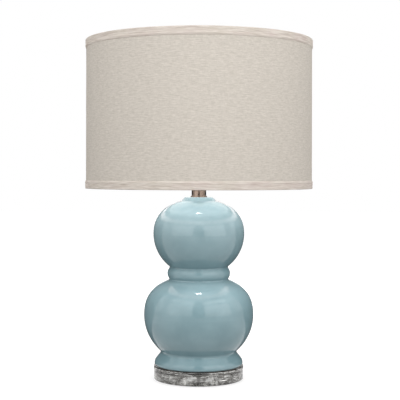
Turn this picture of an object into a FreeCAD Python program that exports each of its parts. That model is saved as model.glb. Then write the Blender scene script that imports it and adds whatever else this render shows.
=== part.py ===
import FreeCAD, Part

import math
import os

import Sketcher

# A table lamp: a clear disc base, a glazed ceramic double gourd, a short metal neck and a
# linen drum shade carried by a harp. The frame stands at the bottom centre of the base,
# +Z up, with the front at -Y. Everything is in millimetres.

# Driving dimensions. Heights called "rise" are measured from the piece below.
SIZES = {
    # base disc and the dots it stands on
    "bumper_height": 1.5,
    "bumper_radius": 5.0,
    "bumper_ring_radius": 72.0,
    "base_radius": 85.0,
    "base_thickness": 24.3,
    "base_edge_round": 0.8,
    "counterbore_radius": 25.0,
    "counterbore_depth": 12.0,
    # threaded lamp pipe and the hardware that clamps on it
    "pipe_radius": 4.85,
    "pipe_bore_radius": 3.3,
    "pipe_clearance": 0.25,
    "pipe_tail": 1.6,
    "base_washer_radius": 15.0,
    "base_washer_thickness": 1.6,
    "lock_washer_radius": 8.6,
    "lock_washer_thickness": 1.4,
    "lock_washer_turn": 345.0,
    "nut_flats": 15.9,
    "base_nut_height": 4.2,
    "locknut_height": 3.2,
    # dark gasket and the two rings that centre the ceramic on the pipe
    "gasket_thickness": 1.4,
    "gasket_width": 16.0,
    "gasket_inset": 0.2,
    "centring_flange_radius": 20.0,
    "centring_spigot_depth": 4.5,
    "seating_flange_radius": 11.5,
    "seating_flange_thickness": 1.5,
    "ceramic_hole_radius": 6.6,
    "spigot_clearance": 0.15,
    # ceramic gourd
    "ceramic_wall": 6.0,
    "foot_radius": 83.8,
    "foot_bottom_round": 3.5,
    "foot_side_height": 0.5,
    "foot_shoulder_round": 13.0,
    "foot_shoulder_angle": 45.0,
    "foot_crease_radius": 70.5,
    "foot_crease_fillet": 5.0,
    "foot_wall": 7.8,
    "foot_cavity_height": 5.4,
    "floor_thickness": 4.7,
    "lower_girth": 104.2,
    "lower_equator_rise": 94.8,
    "lower_drop": 94.5,
    "lower_drop_fullness": 2.0,
    "lower_climb": 74.3,
    "lower_climb_fullness": 2.4,
    "upper_girth": 86.8,
    "equator_spacing": 154.2,
    "upper_drop": 81.5,
    "upper_drop_fullness": 2.0,
    "upper_climb": 66.4,
    "upper_climb_fullness": 2.24,
    "waist_crease_radius": 54.5,
    "waist_ring_bulge": 5.4,
    "waist_fillet": 2.5,
    "collar_rise": 69.8,
    "collar_crease_radius": 33.4,
    "collar_crease_fillet": 3.0,
    "collar_radius": 26.4,
    "collar_lip_round": 2.5,
    # cord bushing at the back of the foot
    "cord_hole_rise": 8.6,
    "bushing_bore_radius": 2.7,
    "bushing_barrel_radius": 3.7,
    "bushing_clearance": 0.1,
    "bushing_flange_radius": 5.2,
    "bushing_flange_thickness": 2.0,
    "bushing_seat_depth": 4.0,
    "bushing_tail": 6.0,
    # metal neck
    "neck_radius": 13.9,
    "neck_wall": 1.2,
    "neck_height": 25.0,
    "neck_flange_radius": 15.5,
    "neck_flange_height": 2.6,
    # harp, its saddle, sleeves and swivel stud
    "saddle_half_span": 28.5,
    "saddle_thickness": 1.6,
    "saddle_half_width": 6.0,
    "post_radius": 2.25,
    "post_height": 14.0,
    "harp_wire_radius": 2.0,
    "harp_height": 254.0,
    "harp_half_width": 57.0,
    "harp_leg_straight": 30.0,
    "harp_flare_height": 34.0,
    "harp_lower_bend": 20.0,
    "harp_upper_bend": 46.0,
    "harp_top_bend": 15.0,
    "harp_top_half_width": 24.0,
    "harp_plate_half_length": 12.0,
    "harp_plate_half_width": 6.5,
    "harp_plate_thickness": 4.4,
    "sleeve_radius": 3.9,
    "sleeve_clearance": 0.25,
    "sleeve_length": 19.0,
    "sleeve_bead": 0.7,
    "stud_radius": 3.175,
    "stud_fit": 0.08,
    "stud_head_radius": 5.2,
    "stud_head_thickness": 1.6,
    "stud_shoulder_radius": 9.5,
    "stud_shoulder_thickness": 1.6,
    "stud_thread_length": 13.0,
    # drum shade
    "shade_radius": 216.0,
    "shade_height": 280.0,
    "spider_drop": 12.7,
    "trim_thickness": 1.25,
    "trim_height": 15.5,
    "trim_lining_height": 9.0,
    "trim_edge": 0.9,
    "fabric_thickness": 0.9,
    "liner_thickness": 0.6,
    "ring_wire_radius": 2.2,
    "hub_radius": 12.5,
    "hub_thickness": 2.0,
    "hub_clearance": 0.3,
    "arm_bend": 7.0,
    "arm_fall_run": 9.0,
    # finial
    "finial_washer_radius": 8.0,
    "finial_washer_thickness": 1.0,
    "finial_base_radius": 6.8,
    "finial_neck_radius": 4.6,
    "finial_ball_radius": 8.0,
    "finial_foot_height": 1.5,
    "finial_taper_height": 3.0,
    "finial_stem_height": 6.0,
    "finial_bore_depth": 11.5,
    # socket
    "cap_radius": 18.8,
    "cap_wall": 0.9,
    "cap_hub_radius": 7.5,
    "cap_hub_height": 9.0,
    "cap_neck_height": 4.0,
    "cap_dome_height": 10.0,
    "cap_dome_round": 14.0,
    "cap_skirt_height": 8.0,
    "pipe_grip": 7.0,
    "set_screw_radius": 1.3,
    "set_screw_stand_out": 1.6,
    "shell_radius": 17.3,
    "shell_wall": 0.5,
    "shell_rise": 14.6,
    "shell_height": 46.0,
    "paper_wall": 0.6,
    "socket_gap": 0.2,
    "block_rise": 18.0,
    "block_height": 18.0,
    "screw_shell_wall": 0.4,
    "screw_shell_height": 22.0,
    "thread_clearance": 0.4,
    "contact_opening_radius": 7.0,
    "contact_radius": 4.5,
    "contact_height": 2.4,
    "contact_crown_radius": 2.25,
    "terminal_offset": 9.5,
    "terminal_head_radius": 3.1,
    "terminal_head_height": 1.8,
    "terminal_shank_radius": 1.55,
    "terminal_shank_length": 6.0,
    # turn switch
    "knob_rise": 9.0,
    "rotor_radius": 4.8,
    "rotor_length": 6.5,
    "rotor_start": 2.5,
    "rotor_gap": 0.35,
    "switch_shaft_radius": 2.0,
    "shaft_fit": 0.08,
    "knob_radius": 6.2,
    "knob_length": 10.0,
    "knob_stand_off": 3.2,
    "knob_grip_depth": 6.0,
    "knob_edge_round": 0.8,
    "knob_scallop_radius": 0.8,
    "knob_scallop_offset": 0.2,
    "knob_scallop_count": 14,
    # bulb
    "bulb_radius": 30.0,
    "bulb_length": 108.0,
    "bulb_cap_radius": 13.2,
    "bulb_cap_start": 3.2,
    "bulb_cap_end": 25.0,
    "bulb_neck_radius": 15.0,
    "bulb_neck_height": 9.0,
    "bulb_wall": 0.8,
    "bulb_tip_gap": 0.3,
    "bulb_tip_radius": 4.0,
    "bulb_tip_height": 1.2,
    "bulb_tip_flat": 2.0,
    "insulator_radius": 9.6,
    "stem_radius": 4.0,
    "stem_height": 30.0,
    "stem_flare_height": 9.0,
    "filament_half_width": 9.0,
    "filament_rise": 22.0,
    "filament_wire_radius": 0.45,
    "filament_bend": 1.35,
    "lead_offset": 2.4,
    "lead_rise": 3.0,
}

BULB_SIDE_STEPS = 8
BULB_NECK_ANGLE = math.radians(28)
ARM_DIRECTIONS = (-90, 30, 150)
BUMPER_DIRECTIONS = (45, 135, 225, 315)

doc = FreeCAD.newDocument("lamp")
sheet = doc.addObject("Spreadsheet::Sheet", "sizes")
for row, (name, number) in enumerate(SIZES.items(), start=1):
    sheet.set(f"A{row}", name)
    sheet.set(f"B{row}", str(number))
    sheet.setAlias(f"B{row}", name)
doc.recompute()


class Length:
    """A number worked out from the sheet, kept with the formula that binds to it."""

    def __init__(self, value, formula):
        self.value = value
        self.formula = formula

    def joined(self, sign, other, value):
        other_formula = other.formula if isinstance(other, Length) else repr(other)
        return Length(value, f"({self.formula} {sign} {other_formula})")

    def __add__(self, other):
        return self.joined("+", other, self.value + plain(other))

    def __sub__(self, other):
        return self.joined("-", other, self.value - plain(other))

    def __mul__(self, other):
        return self.joined("*", other, self.value * plain(other))

    def __neg__(self):
        return Length(-self.value, f"(-1 * {self.formula})")


def plain(length):
    """The bare number of a Length, or of a number."""
    return length.value if isinstance(length, Length) else float(length)


def cell(name):
    return Length(float(sheet.get(name)), f"sizes.{name}")


def bind(item, prop, length):
    """Ties a property to the sheet's formula."""
    item.setExpression(prop, length.formula if isinstance(length, Length) else repr(length))


S = type("Cells", (), {name: cell(name) for name in SIZES})
ZERO = Length(0.0, "0")

# Heights that several pieces share, from the table up.
base_bottom = S.bumper_height
base_top = base_bottom + S.base_thickness
counterbore_top = base_bottom + S.counterbore_depth
base_washer_bottom = counterbore_top - S.base_washer_thickness
lock_washer_bottom = base_washer_bottom - S.lock_washer_thickness
base_nut_bottom = lock_washer_bottom - S.base_nut_height
pipe_bottom = base_nut_bottom - S.pipe_tail
foot_bottom = base_top + S.gasket_thickness
floor_top = foot_bottom + S.floor_thickness
lower_equator = foot_bottom + S.lower_equator_rise
upper_equator = lower_equator + S.equator_spacing
collar_top = upper_equator + S.collar_rise
neck_top = collar_top + S.neck_height
locknut_top = neck_top + S.locknut_height
saddle_top = locknut_top + S.saddle_thickness
pipe_top = saddle_top + S.pipe_grip
post_top = saddle_top + S.post_height
hub_seat = saddle_top + S.harp_height
harp_plate_top = hub_seat - S.stud_shoulder_thickness
shade_top = hub_seat + S.spider_drop
shade_bottom = shade_top - S.shade_height
cord_height = foot_bottom + S.cord_hole_rise
shell_bottom = saddle_top + S.shell_rise
shell_top = shell_bottom + S.shell_height
block_bottom = saddle_top + S.block_rise
block_top = block_bottom + S.block_height
knob_height = block_bottom + S.knob_rise
bulb_tip = block_top + S.contact_height + S.bulb_tip_gap
bulb_cap_top = bulb_tip + S.bulb_cap_end

# Radii that several pieces share.
pipe_hole = S.pipe_radius + S.pipe_clearance
fabric_outer = S.shade_radius - S.trim_thickness
liner_outer = fabric_outer - S.fabric_thickness
liner_inner = liner_outer - S.liner_thickness
ring_radius = liner_inner - S.ring_wire_radius
block_radius = S.shell_radius - S.shell_wall - S.paper_wall - S.socket_gap * 2


# ---------------------------------------------------------------------------------------
# Ways of making a piece
# ---------------------------------------------------------------------------------------


def new_body(label):
    body = doc.addObject("PartDesign::Body", label)
    body.Label = label
    return body


def new_sketch(body, plane, offset=None):
    """A sketch on one of the body's own origin planes, moved along its normal by offset."""
    sketch = body.newObject("Sketcher::SketchObject", body.Label + "_sketch")
    origin_plane = [part for part in body.Origin.OriginFeatures if part.Role == plane][0]
    sketch.AttachmentSupport = [(origin_plane, "")]
    sketch.MapMode = "FlatFace"
    if offset is not None:
        bind(sketch, "AttachmentOffset.Base.z", offset)
    return sketch


def fix_point(sketch, geometry, end, across, up):
    """Holds one end of a line, or a centre, at a place bound to the sheet."""
    for kind, place in (("DistanceX", across), ("DistanceY", up)):
        if plain(place) == 0 and kind == "DistanceX":
            sketch.addConstraint(Sketcher.Constraint("PointOnObject", geometry, end, -2))
        else:
            index = sketch.addConstraint(
                Sketcher.Constraint(kind, -1, 1, geometry, end, plain(place))
            )
            bind(sketch, f"Constraints[{index}]", place)


def arc_between(start, end, bend):
    """An arc of signed radius: a positive bend has its centre on the left of the way."""
    middle = (start + end) * 0.5
    way = end - start
    reach = math.sqrt(max(0.0, bend * bend - way.Length**2 / 4))
    left = FreeCAD.Vector(-way.y, way.x, 0).normalize()
    centre = middle + left * math.copysign(reach, bend)
    circle = Part.Circle(centre, FreeCAD.Vector(0, 0, 1), abs(bend))
    first, last = (start, end) if bend > 0 else (end, start)
    first_angle = math.atan2(first.y - centre.y, first.x - centre.x)
    last_angle = math.atan2(last.y - centre.y, last.x - centre.x)
    return Part.ArcOfCircle(circle, first_angle, last_angle)


def draw_outline(sketch, corners):
    """Draws a closed outline whose corners are bound to the sheet.

    A corner is (across, up), or (across, up, bend) where an arc of that radius arrives
    there; the bend's sign is as in arc_between.
    """
    points = [FreeCAD.Vector(plain(c[0]), plain(c[1]), 0) for c in corners]
    ends = []
    for index, corner in enumerate(corners):
        start = points[index - 1]
        if len(corner) == 3:
            bend = corner[2]
            geometry = sketch.addGeometry(arc_between(start, points[index], plain(bend)))
            size = -bend if plain(bend) < 0 else bend
            number = sketch.addConstraint(
                Sketcher.Constraint("Radius", geometry, plain(size))
            )
            bind(sketch, f"Constraints[{number}]", size)
            ends.append((geometry, 1, 2) if plain(bend) > 0 else (geometry, 2, 1))
        else:
            geometry = sketch.addGeometry(Part.LineSegment(start, points[index]))
            ends.append((geometry, 1, 2))
    for index, (geometry, first, last) in enumerate(ends):
        following = ends[(index + 1) % len(ends)]
        sketch.addConstraint(
            Sketcher.Constraint("Coincident", geometry, last, following[0], following[1])
        )
        fix_point(sketch, geometry, last, corners[index][0], corners[index][1])


def draw_circle(sketch, radius, across=ZERO, up=ZERO):
    centre = FreeCAD.Vector(plain(across), plain(up), 0)
    geometry = sketch.addGeometry(
        Part.Circle(centre, FreeCAD.Vector(0, 0, 1), plain(radius))
    )
    number = sketch.addConstraint(Sketcher.Constraint("Radius", geometry, plain(radius)))
    bind(sketch, f"Constraints[{number}]", radius)
    if plain(across) == 0 and plain(up) == 0:
        sketch.addConstraint(Sketcher.Constraint("Coincident", geometry, 3, -1, 1))
    else:
        fix_point(sketch, geometry, 3, across, up)


def revolve(body, sketch, kind="PartDesign::Revolution", angle=360):
    turn = body.newObject(kind, body.Label + "_turn")
    turn.Profile = sketch
    turn.ReferenceAxis = (sketch, ["V_Axis"])
    bind(turn, "Angle", angle)
    sketch.Visibility = False
    return turn


def turned(label, corners, angle=360):
    """A piece turned about the lamp's upright axis from an outline of (radius, height)."""
    body = new_body(label)
    sketch = new_sketch(body, "XZ_Plane")
    draw_outline(sketch, corners)
    revolve(body, sketch, angle=angle)
    return body


def pad(body, sketch, length, reverse=False):
    feature = body.newObject("PartDesign::Pad", body.Label + "_pad")
    feature.Profile = sketch
    feature.Reversed = reverse
    bind(feature, "Length", length)
    return feature


def pocket(body, sketch, depth=None, reverse=False):
    """A cut from the sketch, through everything on that side unless a depth is given."""
    before = body.Tip
    feature = body.newObject("PartDesign::Pocket", body.Label + "_cut")
    feature.Profile = sketch
    feature.Reversed = reverse
    if depth is None:
        feature.Type = "ThroughAll"
    else:
        bind(feature, "Length", depth)
    doc.recompute()
    if feature.Shape.Volume >= before.Shape.Volume:
        raise RuntimeError(f"a cut in {body.Label} points away from the solid")
    return feature


def tube_corners(inner, outer, bottom, top):
    return [(inner, bottom), (outer, bottom), (outer, top), (inner, top)]


def cylinder(label, radius, height, bottom, across=ZERO):
    """An upright cylinder primitive."""
    item = doc.addObject("Part::Cylinder", label)
    item.Label = label
    bind(item, "Radius", radius)
    bind(item, "Height", height)
    bind(item, "Placement.Base.x", across)
    bind(item, "Placement.Base.z", bottom)
    return item


def cut(label, solid, tool):
    item = doc.addObject("Part::Cut", label)
    item.Label = label
    item.Base = solid
    item.Tool = tool
    return item


def fuse(label, solids):
    item = doc.addObject("Part::MultiFuse", label)
    item.Label = label
    item.Shapes = solids
    item.Refine = True
    return item


def hex_nut(label, flats, height, bottom):
    prism = doc.addObject("Part::Prism", label + "_blank")
    prism.Polygon = 6
    bind(prism, "Circumradius", flats * (1 / math.sqrt(3)))
    bind(prism, "Height", height)
    bind(prism, "Placement.Base.z", bottom)
    drill = cylinder(label + "_drill", pipe_hole, height, bottom)
    return cut(label, prism, drill)


def rounded_path(points, bends):
    """Straight runs through the points, joined by tangent arcs of the given radii."""
    pieces = []
    start = points[0]
    for index in range(1, len(points) - 1):
        corner, bend = points[index], bends[index - 1]
        arrive = (corner - points[index - 1]).normalize()
        leave = (points[index + 1] - corner).normalize()
        setback = bend * math.tan(arrive.getAngle(leave) / 2)
        first = corner - arrive * setback
        last = corner + leave * setback
        turn_left = arrive.x * leave.y - arrive.y * leave.x > 0
        pieces.append(Part.LineSegment(start, first))
        pieces.append(arc_between(first, last, bend if turn_left else -bend))
        start = last
    pieces.append(Part.LineSegment(start, points[-1]))
    return pieces


def bent_wire(body, points, bends, wire_radius, start_plane, start_offset, across, up):
    """A round wire swept along a rounded path in the XZ plane."""
    path = new_sketch(body, "XZ_Plane")
    path.addGeometry(rounded_path(points, bends))
    profile = new_sketch(body, start_plane, start_offset)
    draw_circle(profile, wire_radius, across, up)
    sweep = body.newObject("PartDesign::AdditivePipe", body.Label + "_wire")
    sweep.Profile = profile
    sweep.Spine = (path, [f"Edge{n + 1}" for n in range(path.GeometryCount)])
    path.Visibility = False
    profile.Visibility = False
    return sweep


def round_edges_at(body, places, fillet_radius):
    """Fillets the body's level circular edges at the given (radius, height) places."""
    doc.recompute()
    solid = body.Tip
    names = []
    for index, edge in enumerate(solid.Shape.Edges, start=1):
        curve = edge.Curve
        if not isinstance(curve, Part.Circle):
            continue
        for radius, height in places:
            if abs(curve.Radius - radius) < 0.01 and abs(curve.Center.z - height) < 0.01:
                names.append(f"Edge{index}")
    if len(names) < len(places):
        raise RuntimeError(f"{body.Label} lacks an edge to round")
    fillet = body.newObject("PartDesign::Fillet", body.Label + "_fillet")
    fillet.Base = (solid, names)
    bind(fillet, "Radius", fillet_radius)
    doc.recompute()
    return fillet


# ---------------------------------------------------------------------------------------
# Base and clamping hardware
# ---------------------------------------------------------------------------------------


def base_bumpers():
    dots = []
    for number, direction in enumerate(BUMPER_DIRECTIONS, start=1):
        dot = cylinder(f"bumper_{number}", S.bumper_radius, S.bumper_height, ZERO)
        angle = math.radians(direction)
        bind(dot, "Placement.Base.x", S.bumper_ring_radius * math.cos(angle))
        bind(dot, "Placement.Base.y", S.bumper_ring_radius * math.sin(angle))
        dots.append(dot)
    group = doc.addObject("Part::Compound", "base_bumpers")
    group.Label = "base_bumpers"
    group.Links = dots
    return group


def base_disc():
    edge = S.base_edge_round
    return turned(
        "base_disc",
        [
            (S.counterbore_radius, base_bottom),
            (S.base_radius - edge, base_bottom),
            (S.base_radius, base_bottom + edge, edge),
            (S.base_radius, base_top - edge),
            (S.base_radius - edge, base_top, edge),
            (pipe_hole, base_top),
            (pipe_hole, counterbore_top),
            (S.counterbore_radius, counterbore_top),
        ],
    )


def base_hardware():
    washer = turned(
        "base_washer",
        tube_corners(pipe_hole, S.base_washer_radius, base_washer_bottom, counterbore_top),
    )
    spring = turned(
        "base_lock_washer",
        tube_corners(pipe_hole, S.lock_washer_radius, lock_washer_bottom, base_washer_bottom),
        angle=S.lock_washer_turn,
    )
    nut = hex_nut("base_nut", S.nut_flats, S.base_nut_height, base_nut_bottom)
    return [washer, spring, nut]


def lamp_pipe():
    return turned(
        "lamp_pipe",
        tube_corners(S.pipe_bore_radius, S.pipe_radius, pipe_bottom, pipe_top),
    )


def foot_gasket():
    outer = S.foot_radius - S.foot_bottom_round - S.gasket_inset
    return turned(
        "foot_gasket",
        tube_corners(outer - S.gasket_width, outer, base_top, foot_bottom),
    )


def centring_ring():
    spigot = S.ceramic_hole_radius - S.spigot_clearance
    return turned(
        "foot_centring_ring",
        [
            (pipe_hole, base_top),
            (S.centring_flange_radius, base_top),
            (S.centring_flange_radius, foot_bottom),
            (spigot, foot_bottom),
            (spigot, foot_bottom + S.centring_spigot_depth),
            (pipe_hole, foot_bottom + S.centring_spigot_depth),
        ],
    )


def seating_ring():
    spigot = S.ceramic_hole_radius - S.spigot_clearance
    flange_top = collar_top + S.seating_flange_thickness
    return turned(
        "neck_seating_ring",
        [
            (pipe_hole, collar_top - S.centring_spigot_depth),
            (spigot, collar_top - S.centring_spigot_depth),
            (spigot, collar_top),
            (S.seating_flange_radius, collar_top),
            (S.seating_flange_radius, flange_top),
            (pipe_hole, flange_top),
        ],
    )


# ---------------------------------------------------------------------------------------
# Ceramic gourd
# ---------------------------------------------------------------------------------------


def bulb_reach(girth, rise, fullness, radius):
    """How far from its widest ring a bulb has narrowed to the given radius."""
    return rise * (1 - (radius / girth) ** fullness) ** (1 / fullness)


def bulb_side(equator, girth, rise, fullness, radius):
    """Curve from a bulb's widest ring to where it has narrowed to the given radius.

    It is one quarter of an oval: (across / girth) ^ fullness + (up / rise) ^ fullness = 1.
    """
    power = 2 / fullness
    last_angle = math.acos((radius / girth) ** (fullness / 2))
    points = []
    for step in range(BULB_SIDE_STEPS + 1):
        angle = last_angle * step / BULB_SIDE_STEPS
        across = girth * math.cos(angle) ** power
        up = equator + rise * math.sin(angle) ** power
        points.append(FreeCAD.Vector(across, up, 0))
    leave = FreeCAD.Vector(
        -girth * math.cos(last_angle) ** (power - 1) * math.sin(last_angle),
        rise * math.sin(last_angle) ** (power - 1) * math.cos(last_angle),
        0,
    )
    curve = Part.BSplineCurve()
    curve.interpolate(
        Points=points,
        InitialTangent=FreeCAD.Vector(0, math.copysign(1, rise), 0),
        FinalTangent=leave,
    )
    return curve


def lines_through(points):
    corners = [FreeCAD.Vector(across, up, 0) for across, up in points]
    return [Part.LineSegment(a, b) for a, b in zip(corners, corners[1:])]


def gourd_curves(shrink, foot_radius, waist_radius, collar_radius):
    """The four bulb sides, drawn in by shrink, and the heights where they end."""
    lower = S.lower_girth.value - shrink
    upper = S.upper_girth.value - shrink
    low, high = lower_equator.value, upper_equator.value
    sides = [
        (low, lower, shrink - S.lower_drop.value, S.lower_drop_fullness.value, foot_radius),
        (low, lower, S.lower_climb.value - shrink, S.lower_climb_fullness.value, waist_radius),
        (high, upper, shrink - S.upper_drop.value, S.upper_drop_fullness.value, waist_radius),
        (high, upper, S.upper_climb.value - shrink, S.upper_climb_fullness.value, collar_radius),
    ]
    ends = [side[0] + bulb_reach(*side[1:]) for side in sides]
    return [bulb_side(*side) for side in sides], ends


def gourd_outside():
    """Outline of the solid gourd, closed along the axis; also its creases and their fillets."""
    crease = S.foot_crease_radius.value
    waist = S.waist_crease_radius.value
    shoulder = S.collar_crease_radius.value
    curves, ends = gourd_curves(0.0, crease, waist, shoulder)
    bottom, top = foot_bottom.value, collar_top.value
    foot, edge = S.foot_radius.value, S.foot_bottom_round.value
    side_top = bottom + edge + S.foot_side_height.value
    bend = S.foot_shoulder_round.value
    lean = math.radians(S.foot_shoulder_angle.value)
    bend_end = (foot - bend * (1 - math.cos(lean)), side_top + bend * math.sin(lean))
    vector = FreeCAD.Vector
    pieces = lines_through([(0, top), (0, bottom), (foot - edge, bottom)])
    pieces.append(arc_between(vector(foot - edge, bottom), vector(foot, bottom + edge), edge))
    pieces += lines_through([(foot, bottom + edge), (foot, side_top)])
    pieces.append(arc_between(vector(foot, side_top), vector(*bend_end), bend))
    pieces += lines_through([bend_end, (crease, ends[0])])
    pieces += curves
    ring_half = (ends[2] - ends[1]) / 2
    bulge = S.waist_ring_bulge.value
    ring_bend = (ring_half**2 + bulge**2) / (2 * bulge)
    pieces.append(arc_between(vector(waist, ends[1]), vector(waist, ends[2]), ring_bend))
    collar = [vector(shoulder, ends[3]), vector(S.collar_radius.value, top), vector(0, top)]
    pieces += rounded_path(collar, [S.collar_lip_round.value])
    creases = [
        ([(crease, ends[0])], S.foot_crease_fillet),
        ([(waist, ends[1]), (waist, ends[2])], S.waist_fillet),
        ([(shoulder, ends[3])], S.collar_crease_fillet),
    ]
    return pieces, creases


def gourd_inside():
    """Outline of the hollow, a wall's thickness inside, closed along the axis."""
    wall = S.ceramic_wall.value
    foot = S.foot_radius.value - S.foot_wall.value
    crease = S.foot_crease_radius.value - wall
    throat = S.waist_crease_radius.value - wall
    shoulder = S.collar_crease_radius.value - wall
    curves, ends = gourd_curves(wall, crease, throat, shoulder)
    floor = floor_top.value
    pieces = lines_through(
        [
            (0, ends[3]),
            (0, floor),
            (foot, floor),
            (foot, floor + S.foot_cavity_height.value),
            (crease, ends[0]),
        ]
    )
    pieces += curves
    pieces += lines_through([(throat, ends[1]), (throat, ends[2])])
    pieces += lines_through([(shoulder, ends[3]), (0, ends[3])])
    return pieces


def gourd_body():
    body = new_body("gourd_body")
    outside, creases = gourd_outside()
    sketch = new_sketch(body, "XZ_Plane")
    sketch.addGeometry(outside)
    revolve(body, sketch)
    for places, fillet in creases:
        round_edges_at(body, places, fillet)
    hollow = new_sketch(body, "XZ_Plane")
    hollow.addGeometry(gourd_inside())
    revolve(body, hollow, "PartDesign::Groove")
    doc.recompute()
    bore = new_sketch(body, "XY_Plane")
    draw_circle(bore, S.ceramic_hole_radius)
    pocket(body, bore, reverse=True)
    cord_hole = new_sketch(body, "XZ_Plane")
    draw_circle(cord_hole, S.bushing_barrel_radius + S.bushing_clearance, ZERO, cord_height)
    pocket(body, cord_hole)
    seat = new_sketch(body, "XZ_Plane", S.bushing_seat_depth - S.foot_radius)
    draw_circle(seat, S.bushing_flange_radius + S.bushing_clearance, ZERO, cord_height)
    pocket(body, seat)
    return body


def cord_bushing():
    """Turned about its own axis, then laid along +Y in the hole at the back of the foot."""
    body = new_body("cord_bushing")
    sketch = new_sketch(body, "XZ_Plane")
    draw_outline(
        sketch,
        [
            (S.bushing_bore_radius, -S.bushing_tail),
            (S.bushing_barrel_radius, -S.bushing_tail),
            (S.bushing_barrel_radius, ZERO),
            (S.bushing_flange_radius, ZERO),
            (S.bushing_flange_radius, S.bushing_flange_thickness),
            (S.bushing_bore_radius, S.bushing_flange_thickness),
        ],
    )
    revolve(body, sketch)
    body.Placement.Rotation = FreeCAD.Rotation(FreeCAD.Vector(1, 0, 0), -90)
    bind(body, "Placement.Base.y", S.foot_radius - S.bushing_seat_depth)
    bind(body, "Placement.Base.z", cord_height)
    return body


# ---------------------------------------------------------------------------------------
# Neck, saddle, harp and swivel stud
# ---------------------------------------------------------------------------------------


def neck():
    inside = S.neck_radius - S.neck_wall
    flange_top = collar_top + S.neck_flange_height
    return turned(
        "neck",
        [
            (inside, collar_top),
            (S.neck_flange_radius, collar_top),
            (S.neck_flange_radius, flange_top - S.neck_wall),
            (S.neck_flange_radius - S.neck_wall, flange_top, S.neck_wall),
            (S.neck_radius, flange_top),
            (S.neck_radius, neck_top - S.neck_wall),
            (inside, neck_top, S.neck_wall),
            (pipe_hole, neck_top),
            (pipe_hole, neck_top - S.neck_wall),
            (inside, neck_top - S.neck_wall),
        ],
    )


def neck_locknut():
    return hex_nut("neck_locknut", S.nut_flats, S.locknut_height, neck_top)


def harp_saddle():
    """A flat strip with rounded ends and an upright post at each end."""
    strip = doc.addObject("Part::Box", "saddle_strip")
    bind(strip, "Length", S.saddle_half_span * 2)
    bind(strip, "Width", S.saddle_half_width * 2)
    bind(strip, "Height", S.saddle_thickness)
    bind(strip, "Placement.Base.x", -S.saddle_half_span)
    bind(strip, "Placement.Base.y", -S.saddle_half_width)
    bind(strip, "Placement.Base.z", locknut_top)
    solids = [strip]
    for side, across in (("left", -S.saddle_half_span), ("right", S.saddle_half_span)):
        tall = S.saddle_thickness + S.post_height
        solids.append(
            cylinder(
                f"saddle_end_{side}",
                S.saddle_half_width,
                S.saddle_thickness,
                locknut_top,
                across,
            )
        )
        solids.append(
            cylinder(f"saddle_post_{side}", S.post_radius, tall, locknut_top, across)
        )
    drill = cylinder("saddle_drill", pipe_hole, S.saddle_thickness, locknut_top)
    return cut("harp_saddle", fuse("saddle_blank", solids), drill)


def harp():
    """One bent wire from post to post, with a flat drilled plate where it crosses the top."""
    body = new_body("harp")
    foot, wide = S.saddle_half_span.value, S.harp_half_width.value
    start = post_top.value
    knee = start + S.harp_leg_straight.value
    shoulder = knee + S.harp_flare_height.value
    crown = harp_plate_top.value - S.harp_plate_thickness.value / 2
    crown_reach = S.harp_top_half_width.value
    elbow = crown - (wide - crown_reach)
    right_side = [
        (foot, start),
        (foot, knee),
        (wide, shoulder),
        (wide, elbow),
        (crown_reach, crown),
    ]
    left_side = [(-across, up) for across, up in right_side]
    points = [FreeCAD.Vector(a, u, 0) for a, u in left_side + right_side[::-1]]
    side_bends = [
        S.harp_lower_bend.value,
        S.harp_lower_bend.value,
        S.harp_upper_bend.value,
        S.harp_top_bend.value,
    ]
    bends = side_bends + side_bends[::-1]
    bent_wire(
        body,
        points,
        bends,
        S.harp_wire_radius,
        "XY_Plane",
        post_top,
        -S.saddle_half_span,
        ZERO,
    )
    plate = new_sketch(body, "XY_Plane", harp_plate_top - S.harp_plate_thickness)
    half_length, half_width = S.harp_plate_half_length, S.harp_plate_half_width
    draw_outline(
        plate,
        [
            (-half_length, -half_width),
            (half_length, -half_width),
            (half_length, half_width),
            (-half_length, half_width),
        ],
    )
    pad(body, plate, S.harp_plate_thickness)
    doc.recompute()
    bore = new_sketch(body, "XY_Plane", harp_plate_top - S.harp_plate_thickness)
    draw_circle(bore, S.stud_radius + S.stud_fit)
    pocket(body, bore, reverse=True)
    return body


def harp_sleeve(label, across):
    """A tube with a bead at its foot, half over the saddle's post and half over the harp."""
    inner = S.post_radius + S.sleeve_clearance
    bottom = post_top - S.sleeve_length * 0.5
    bead_top = bottom + S.sleeve_bead * 2
    body = turned(
        label,
        [
            (inner, bottom),
            (S.sleeve_radius + S.sleeve_bead, bottom),
            (S.sleeve_radius + S.sleeve_bead, bead_top),
            (S.sleeve_radius, bead_top),
            (S.sleeve_radius, bottom + S.sleeve_length),
            (inner, bottom + S.sleeve_length),
        ],
    )
    bind(body, "Placement.Base.x", across)
    return body


def harp_stud():
    """A shouldered stud, riveted to turn in the harp's plate, that carries the shade."""
    plate_bottom = harp_plate_top - S.harp_plate_thickness
    head_bottom = plate_bottom - S.stud_head_thickness
    return turned(
        "harp_stud",
        [
            (ZERO, head_bottom),
            (S.stud_head_radius, head_bottom),
            (S.stud_head_radius, plate_bottom),
            (S.stud_radius, plate_bottom),
            (S.stud_radius, harp_plate_top),
            (S.stud_shoulder_radius, harp_plate_top),
            (S.stud_shoulder_radius, hub_seat),
            (S.stud_radius, hub_seat),
            (S.stud_radius, hub_seat + S.stud_thread_length),
            (ZERO, hub_seat + S.stud_thread_length),
        ],
    )


# ---------------------------------------------------------------------------------------
# Drum shade
# ---------------------------------------------------------------------------------------


def ring(label, height):
    item = doc.addObject("Part::Torus", label)
    item.Label = label
    bind(item, "Radius1", ring_radius)
    bind(item, "Radius2", S.ring_wire_radius)
    bind(item, "Placement.Base.z", height)
    return item


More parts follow.
